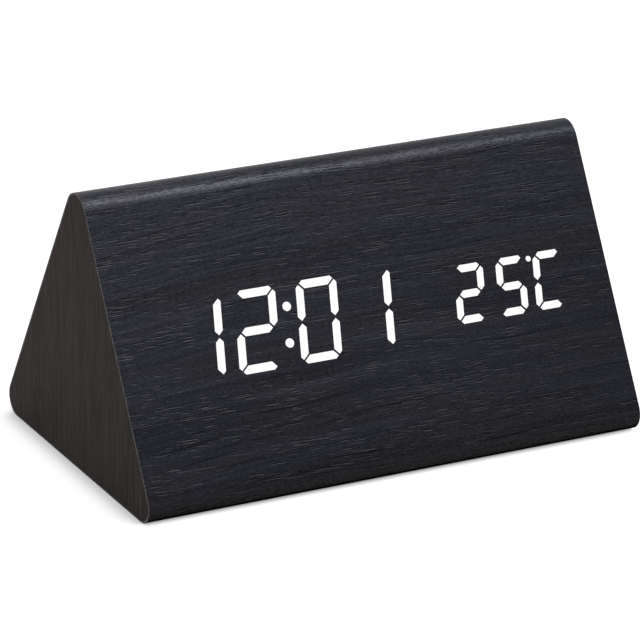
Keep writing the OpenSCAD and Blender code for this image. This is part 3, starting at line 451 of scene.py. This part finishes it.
def cell_jacket():
    """Printed film round each battery cell: a green field, and a dark band at the positive end.

    A pale line runs beside the band, and the ends of the cells are bare metal.
    """
    green, band_black, line_cream, bare_metal = (
        (0.040, 0.170, 0.055), (0.018, 0.020, 0.024), (0.62, 0.60, 0.52), (0.60, 0.59, 0.56))
    next_cell = (5.5, 5.7)    # where the outer cells begin, which point the other way
    band_length, band_fade, line_place, half_line = 15.0, 0.1, 16.2, 0.35
    sh = Shader("cell_jacket")
    x, y, _ = sh.axes(sh.place)
    low, high = (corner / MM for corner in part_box("battery_cells"))
    middle, half = (low + high) / 2, (high.x - low.x) / 2
    scuffs = sh.noise((6, 0.3, 0.3), detail=3.0, roughness=0.6, seed=1)
    clouds = sh.noise((5, 5, 5), detail=2.0, seed=2)
    turned = sh.span(sh.math("ABSOLUTE", sh.math("SUBTRACT", y, middle.y)), *next_cell, -1.0, 1.0)
    towards_plus = sh.math("MULTIPLY", sh.math("SUBTRACT", x, middle.x), turned)
    band = sh.span(towards_plus, half - band_length, half - band_length + band_fade)
    line = sh.math("COMPARE", towards_plus, half - line_place, half_line)
    bare_end = sh.span(sh.math("ABSOLUTE", sh.axes(sh.normal)[0]), 0.6, 0.8)
    tone = sh.mix(band, green, band_black)
    tone = sh.mix(line, tone, line_cream)
    tone = sh.dim(tone, sh.span(clouds, *MIDDLE, 0.9, 1.1))
    tone = sh.mix(bare_end, tone, bare_metal)
    roughness = sh.math("MULTIPLY_ADD", scuffs, 0.25, 0.2)
    return sh.finish(tone, roughness, sh.bump(scuffs, 0.01), Metallic=bare_end, Coat_Weight=0.3)


def lead_sleeve(name, colour):
    """Soft insulation of a lead, with a dull skin and small rubbed places."""
    sh = Shader(name)
    clouds = sh.noise((1.5, 1.5, 1.5), detail=3.0, seed=1)
    skin = sh.noise((0.15, 0.15, 0.15), detail=1.0, seed=2)
    tone = sh.dim(colour, sh.span(clouds, *MIDDLE, 0.8, 1.2))
    return sh.finish(tone, sh.math("MULTIPLY_ADD", clouds, 0.2, 0.32), sh.bump(skin, 0.01))


def ribbon_sleeve():
    """Grey ribbon cable of parallel cores with one red edge core."""
    grey, red, core_count = (0.40, 0.40, 0.39), (0.40, 0.05, 0.04), 10
    sh = Shader("ribbon_sleeve")
    x = sh.axes(sh.place)[0]
    low, high = (corner.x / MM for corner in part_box("display_ribbon"))
    core = (high - low) / core_count
    steps = sh.math("PINGPONG", sh.math("SUBTRACT", x, low), core / 2)
    ridges = sh.span(steps, 0.0, core / 2)
    marked = sh.span(x, low + 0.95 * core, low + 1.05 * core, 1.0, 0.0)
    # Painted shade darkens the grooves between the cores.
    tone = sh.dim(sh.mix(marked, grey, red), sh.span(ridges, 0.0, 1.0, 0.7, 1.08))
    return sh.finish(tone, sh.math("MULTIPLY_ADD", ridges, -0.15, 0.55), sh.bump(ridges, 0.2))


def dress():
    """Puts a material on every CAD node."""
    panel_plastic = moulded_plastic("panel_plastic", (0.017, 0.017, 0.0185), 0.42)
    reflector = moulded_plastic("reflector_plastic", (0.013, 0.013, 0.014), 0.5)
    chip_epoxy = moulded_plastic("chip_epoxy", (0.016, 0.016, 0.017), 0.5, pit_width=0.1)
    nylon = moulded_plastic("white_nylon", (0.70, 0.68, 0.61), 0.45)
    can_sleeve = moulded_plastic("capacitor_sleeve", (0.022, 0.032, 0.080), 0.3)
    steel = brushed_metal("zinc_steel", (0.62, 0.62, 0.60), 0.36)
    nickel = brushed_metal("nickel_plate", (0.70, 0.69, 0.66), 0.28)
    finishes = {
        wrap_veneer(): ["veneer_wrap"],
        base_sheet(): ["base_veneer"],
        end_veneer(): ["left_end_veneer", "right_end_veneer"],
        fibreboard(): ["front_board", "rear_board", "base_board", "left_end_board", "right_end_board"],
        lit_stroke(): ["time_figures", "colon_dots", "temperature_figures", "degree_dot"],
        reflector: ["display_housing"],
        milky_resin(): ["segment_diffusers"],
        light_chip(): ["led_chips"],
        circuit_board(): ["display_board", "main_board"],
        chip_epoxy: ["display_driver", "clock_chip", "buzzer", "thermistor",
                     "set_plunger", "up_plunger", "down_plunger"],
        nylon: ["display_socket", "ribbon_socket", "lead_socket", "display_spacers"],
        can_sleeve: ["capacitors"],
        steel: ["display_screws", "panel_screws", "board_screws", "box_screws"],
        nickel: ["crystal_can", "power_jack_pin", "plate_contacts", "spring_contacts", "microphone",
                 "switch_bodies"],
        panel_plastic: ["control_panel", "power_jack", "battery_box", "battery_door"],
        button_plastic(): ["set_button", "up_button", "down_button"],
        cell_jacket(): ["battery_cells"],
        lead_sleeve("red_sleeve", (0.42, 0.020, 0.015)): ["red_lead"],
        lead_sleeve("black_sleeve", (0.014, 0.014, 0.014)): ["black_lead"],
        ribbon_sleeve(): ["display_ribbon"],
    }
    for material, names in finishes.items():
        for name in names:
            slots = NODES[name].data.materials
            slots.clear()
            slots.append(material)


def floor_material():
    """Grey sheet for the light that falls on it, lifted to white where it is seen.

    The lift is less where the clock stands close by in the direction that LIGHT_FROM gives: a painted
    contact shadow.
    From below the sheet is clear.
    """
    dark, pale = (0.33, 0.33, 0.33), (0.35, 0.35, 0.35)
    sh = Shader("white_sheet")
    light = sh.node("ShaderNodeLightPath").outputs
    seen = sh.math("MAXIMUM", light["Is Camera Ray"],
                   sh.math("MAXIMUM", light["Is Glossy Ray"], light["Is Transmission Ray"]))
    nearby = sh.node("ShaderNodeAmbientOcclusion", samples=16)
    nearby.inputs["Distance"].default_value = CONTACT_REACH * MM
    sh.put(nearby.inputs["Normal"], sh.join(*LIGHT_FROM))
    lift = sh.span(nearby.outputs["AO"], *CONTACT_OPEN, 0.0, FLOOR_LIFT)
    sheet = sh.node("ShaderNodeBsdfPrincipled")
    sh.put(sheet.inputs["Base Color"], sh.mix(sh.noise((40, 40, 40), detail=2.0, seed=1), dark, pale))
    sheet.inputs["Roughness"].default_value = 0.9
    sheet.inputs["Specular IOR Level"].default_value = 0.0
    sheet.inputs["Emission Color"].default_value = (1, 1, 1, 1)
    sh.put(sheet.inputs["Emission Strength"], sh.math("MULTIPLY", seen, lift))
    clear = sh.node("ShaderNodeBsdfTransparent")
    sides = sh.node("ShaderNodeMixShader")
    below = sh.node("ShaderNodeNewGeometry").outputs["Backfacing"]
    output = sh.node("ShaderNodeOutputMaterial")
    sh.tree.links.new(below, sides.inputs[0])
    sh.tree.links.new(sheet.outputs[0], sides.inputs[1])
    sh.tree.links.new(clear.outputs[0], sides.inputs[2])
    sh.tree.links.new(sides.outputs[0], output.inputs["Surface"])
    return sh.material


def make_floor():
    """Wide sheet with an opening that the base covers, so that light reaches the base from below."""
    wide = cad_box[1].x - COVER * MM
    deep = cad_box[1].y - (LOWER_ROUND + COVER) * MM
    around = [(-1, -1), (1, -1), (1, 1), (-1, 1)]
    outer = [(FLOOR_REACH * x, FLOOR_REACH * y, 0) for x, y in around]
    inner = [(wide * x, deep * y, 0) for x, y in around]
    sides = [(i, (i + 1) % 4, 4 + (i + 1) % 4, 4 + i) for i in range(4)]
    mesh = bpy.data.meshes.new("floor")
    mesh.from_pydata(outer + inner, [], sides)
    mesh.materials.append(floor_material())
    floor = bpy.data.objects.new("floor", mesh)
    bpy.context.scene.collection.objects.link(floor)


def make_world():
    """Even white surroundings: full white where they are seen, dimmer as light on the object."""
    world = bpy.data.worlds.new("studio")
    bpy.context.scene.world = world
    world.use_nodes = True
    nodes, links = world.node_tree.nodes, world.node_tree.links
    nodes.clear()
    light = nodes.new("ShaderNodeLightPath").outputs
    mirrored, seen = nodes.new("ShaderNodeMath"), nodes.new("ShaderNodeMath")
    mirrored.operation = seen.operation = "MAXIMUM"
    links.new(light["Is Glossy Ray"], mirrored.inputs[0])
    links.new(light["Is Transmission Ray"], mirrored.inputs[1])
    links.new(light["Is Camera Ray"], seen.inputs[0])
    links.new(mirrored.outputs[0], seen.inputs[1])
    dim, bright = nodes.new("ShaderNodeBackground"), nodes.new("ShaderNodeBackground")
    dim.inputs["Color"].default_value = (0.96, 0.98, 1.0, 1)
    dim.inputs["Strength"].default_value = AMBIENT
    bright.inputs["Color"].default_value = (1, 1, 1, 1)
    bright.inputs["Strength"].default_value = 1.0
    choose = nodes.new("ShaderNodeMixShader")
    output = nodes.new("ShaderNodeOutputWorld")
    links.new(seen.outputs[0], choose.inputs[0])
    links.new(dim.outputs[0], choose.inputs[1])
    links.new(bright.outputs[0], choose.inputs[2])
    links.new(choose.outputs[0], output.inputs["Surface"])


def softbox(name, place, width, depth, power):
    """Area lamp that faces the clock."""
    lamp = bpy.data.lights.new(name, "AREA")
    lamp.shape = "RECTANGLE"
    lamp.size, lamp.size_y = width, depth
    lamp.energy = power
    holder = bpy.data.objects.new(name, lamp)
    holder.location = place
    holder.rotation_euler = (AIM - Vector(place)).to_track_quat("-Z", "Y").to_euler()
    holder.visible_camera = False
    bpy.context.scene.collection.objects.link(holder)


def make_camera():
    """Camera at the photograph's viewing angle, found from the outline of the case and the figures."""
    azimuth, elevation, roll = (math.radians(a) for a in (-28.427, 21.253, 1.232))
    distance, slide, lift = 0.8575, -0.00133, -0.00559
    back = Vector((math.sin(azimuth) * math.cos(elevation),
                   -math.cos(azimuth) * math.cos(elevation), math.sin(elevation)))
    level = (-back).cross(Vector((0, 0, 1))).normalized()
    upright = level.cross(-back)
    right = math.cos(roll) * level + math.sin(roll) * upright
    up = math.cos(roll) * upright - math.sin(roll) * level
    camera = bpy.data.cameras.new("camera")
    camera.sensor_width = 36
    camera.lens = 220.44
    camera.clip_start, camera.clip_end = 0.01, 50
    holder = bpy.data.objects.new("camera", camera)
    turn = Matrix((right, up, back)).transposed().to_4x4()
    holder.matrix_world = Matrix.Translation(AIM + back * distance + right * slide + up * lift) @ turn
    bpy.context.scene.collection.objects.link(holder)
    bpy.context.scene.camera = holder


dress()
make_floor()
make_world()
softbox("ridge_strip", place=(0.20, -0.155, 0.48), width=0.22, depth=0.08, power=2.3)
softbox("side_softbox", place=(-0.60, -0.15, 0.32), width=0.40, depth=0.30, power=2.0)
make_camera()
bpy.context.scene.view_settings.view_transform = "Standard"
